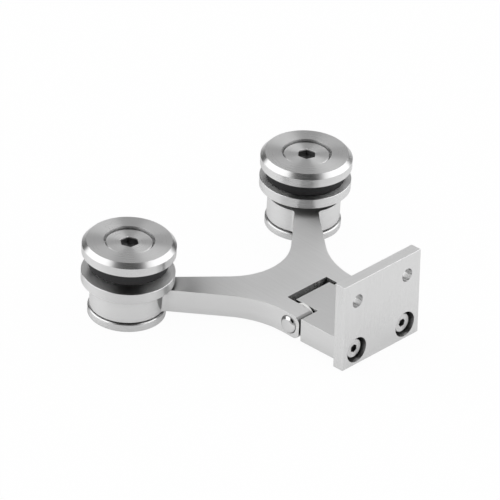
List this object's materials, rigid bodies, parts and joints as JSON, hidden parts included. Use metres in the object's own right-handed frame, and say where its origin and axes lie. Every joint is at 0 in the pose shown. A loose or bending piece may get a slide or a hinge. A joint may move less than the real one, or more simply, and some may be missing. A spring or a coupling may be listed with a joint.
{
  "type": "glass door hinge",
  "caption": "Steel glass door hinge: a wall plate and block pinned to a two-armed door spider that ends in round glass-clamping fixings.",
  "frame": {"origin": "middle of the hinge pin, on its axis", "axes": "+X from the pin to the wall, square to the wall plate; Y along the hinge pin; +Z towards the side that carries the glass"},
  "size_m": [0.1739, 0.221, 0.0612],
  "materials": {
    "satin_steel": "satin, fine straight grain",
    "turned_steel": "turned, fine concentric grain",
    "black_rubber": "matte",
    "black_nylon": "matte",
    "white_nylon": "satin"
  },
  "bodies": {
    "wall_bracket": {"wall_plate": "satin_steel", "hinge_block": "satin_steel", "tongue_bush": "white_nylon", "left_plate_screw": "turned_steel", "left_thrust_washer": "white_nylon", "right_plate_screw": "turned_steel", "right_thrust_washer": "white_nylon"},
    "door_side": {"spider_body": "satin_steel", "hinge_pin": "turned_steel", "left_stud": "turned_steel", "left_back_ring": "turned_steel", "left_disc": "turned_steel", "left_glass_bush": "black_nylon", "left_back_gasket": "black_rubber", "left_front_gasket": "black_rubber", "left_cap": "turned_steel", "left_cap_screw": "turned_steel", "right_stud": "turned_steel", "right_back_ring": "turned_steel", "right_disc": "turned_steel", "right_glass_bush": "black_nylon", "right_back_gasket": "black_rubber", "right_front_gasket": "black_rubber", "right_cap": "turned_steel", "right_cap_screw": "turned_steel"}
  },
  "joints": [
    {"name": "door_swing", "type": "hinge", "parent": "wall_bracket", "child": "door_side", "pos_m": [0, 0, 0], "axis": [0, 1, 0], "range_deg": [-92.3, 87.7]}
  ]
}
